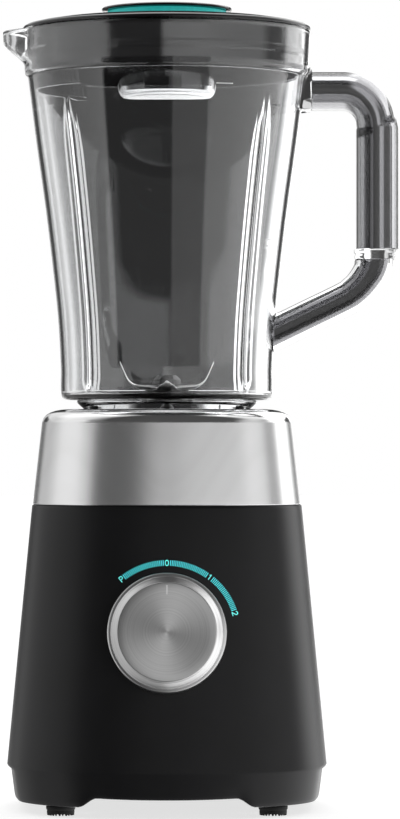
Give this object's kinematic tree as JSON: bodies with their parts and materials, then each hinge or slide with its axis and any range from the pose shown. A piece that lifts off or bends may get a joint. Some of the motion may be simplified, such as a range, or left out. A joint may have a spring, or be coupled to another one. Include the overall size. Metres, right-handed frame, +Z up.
{
  "type": "countertop blender",
  "caption": "Countertop blender: squared motor base with a steel band and a dial, ribbed clear jug with handle and spout, domed lid with measuring cup.",
  "frame": {"origin": "centre of the whole object's box at the level of the surface it stands on; the jug's axis is 16.8 mm to -X and 6.7 mm to +Y of it", "axes": "+Z up, the dial on the -Y side, the spout towards -X and the handle towards +X"},
  "size_m": [0.1976, 0.1764, 0.3989],
  "materials": {
    "black_plastic": "satin",
    "brushed_steel": "brushed",
    "brushed_aluminium": "circular brushed",
    "plain_steel": "satin",
    "copper": "enamelled copper",
    "carbon": "matt carbon",
    "rubber": "matt",
    "clear_plastic": "polished clear",
    "smoke_plastic": "polished smoky",
    "teal_plastic": "gloss",
    "circuit_board": "matt"
  },
  "bodies": {
    "base": {"base_housing": "black_plastic", "steel_band": "brushed_steel", "jug_seat": "black_plastic", "bottom_cover": "black_plastic", "foot_front_left": "rubber", "foot_front_right": "rubber", "foot_rear_left": "rubber", "foot_rear_right": "rubber", "cover_screw_front_left": "plain_steel", "cover_screw_front_right": "plain_steel", "cover_screw_rear_left": "plain_steel", "cover_screw_rear_right": "plain_steel", "motor_frame": "plain_steel", "motor_damper": "rubber", "stator_core": "plain_steel", "upper_bridge": "plain_steel", "lower_bridge": "plain_steel", "motor_bolt_front_right": "plain_steel", "motor_bolt_rear_left": "plain_steel", "upper_bearing": "plain_steel", "lower_bearing": "plain_steel", "field_coil_left": "copper", "field_coil_right": "copper", "brush_holder_left": "black_plastic", "brush_holder_right": "black_plastic", "carbon_brush_left": "carbon", "carbon_brush_right": "carbon", "rotary_switch": "black_plastic", "control_board": "circuit_board", "interlock_switch": "black_plastic", "cord_gland": "black_plastic"},
    "rotor": {"motor_shaft": "plain_steel", "armature": "copper", "commutator": "copper", "cooling_fan": "black_plastic", "drive_coupling": "black_plastic"},
    "knob": {"knob_cap": "brushed_aluminium", "knob_core": "black_plastic", "knob_stem": "plain_steel"},
    "plunger": {"interlock_plunger": "plain_steel"},
    "jug_assembly": {"jug": "clear_plastic", "jug_base_ring": "clear_plastic", "handle_grip": "smoke_plastic", "handle_ring": "clear_plastic", "handle_arm": "smoke_plastic", "blade_bush": "black_plastic", "bush_nut": "black_plastic", "bush_seal": "rubber"},
    "blade_set": {"upper_blade": "plain_steel", "lower_blade": "plain_steel", "blade_spindle": "plain_steel", "blade_cap_nut": "plain_steel", "driven_coupling": "black_plastic"},
    "lid_assembly": {"lid": "black_plastic", "lid_seal": "rubber"},
    "measuring_cup_assembly": {"measuring_cup": "clear_plastic", "cap_ring": "teal_plastic", "filler_cap": "black_plastic"}
  },
  "joints": [
    {"name": "motor_spin", "type": "hinge", "parent": "base", "child": "rotor", "pos_m": [-0.0168, 0.00676, 0.1], "axis": [0, 0, 1], "continuous": true},
    {"name": "knob_turn", "type": "hinge", "parent": "base", "child": "knob", "pos_m": [-0.0168, -0.06636, 0.0892], "axis": [0, 0.9954, -0.0958], "range_deg": [-40, 73]},
    {"name": "jug_lift", "type": "slide", "parent": "base", "child": "jug_assembly", "axis": [0, 0, 1], "range_m": [0, 0.12]},
    {"name": "plunger_rise", "type": "slide", "parent": "base", "child": "plunger", "axis": [0, 0, 1], "range_m": [0, 0.0024]},
    {"name": "blade_spin", "type": "hinge", "parent": "jug_assembly", "child": "blade_set", "pos_m": [-0.0168, 0.00676, 0.21], "axis": [0, 0, 1], "continuous": true},
    {"name": "lid_lift", "type": "slide", "parent": "jug_assembly", "child": "lid_assembly", "axis": [0, 0, 1], "range_m": [0, 0.06]},
    {"name": "cup_lift", "type": "slide", "parent": "lid_assembly", "child": "measuring_cup_assembly", "axis": [0, 0, 1], "range_m": [0, 0.06]}
  ],
  "couplings": [
    {"joint": "blade_spin", "follows": "motor_spin", "ratio": 1},
    {"joint": "plunger_rise", "follows": "jug_lift", "ratio": 0.02}
  ]
}
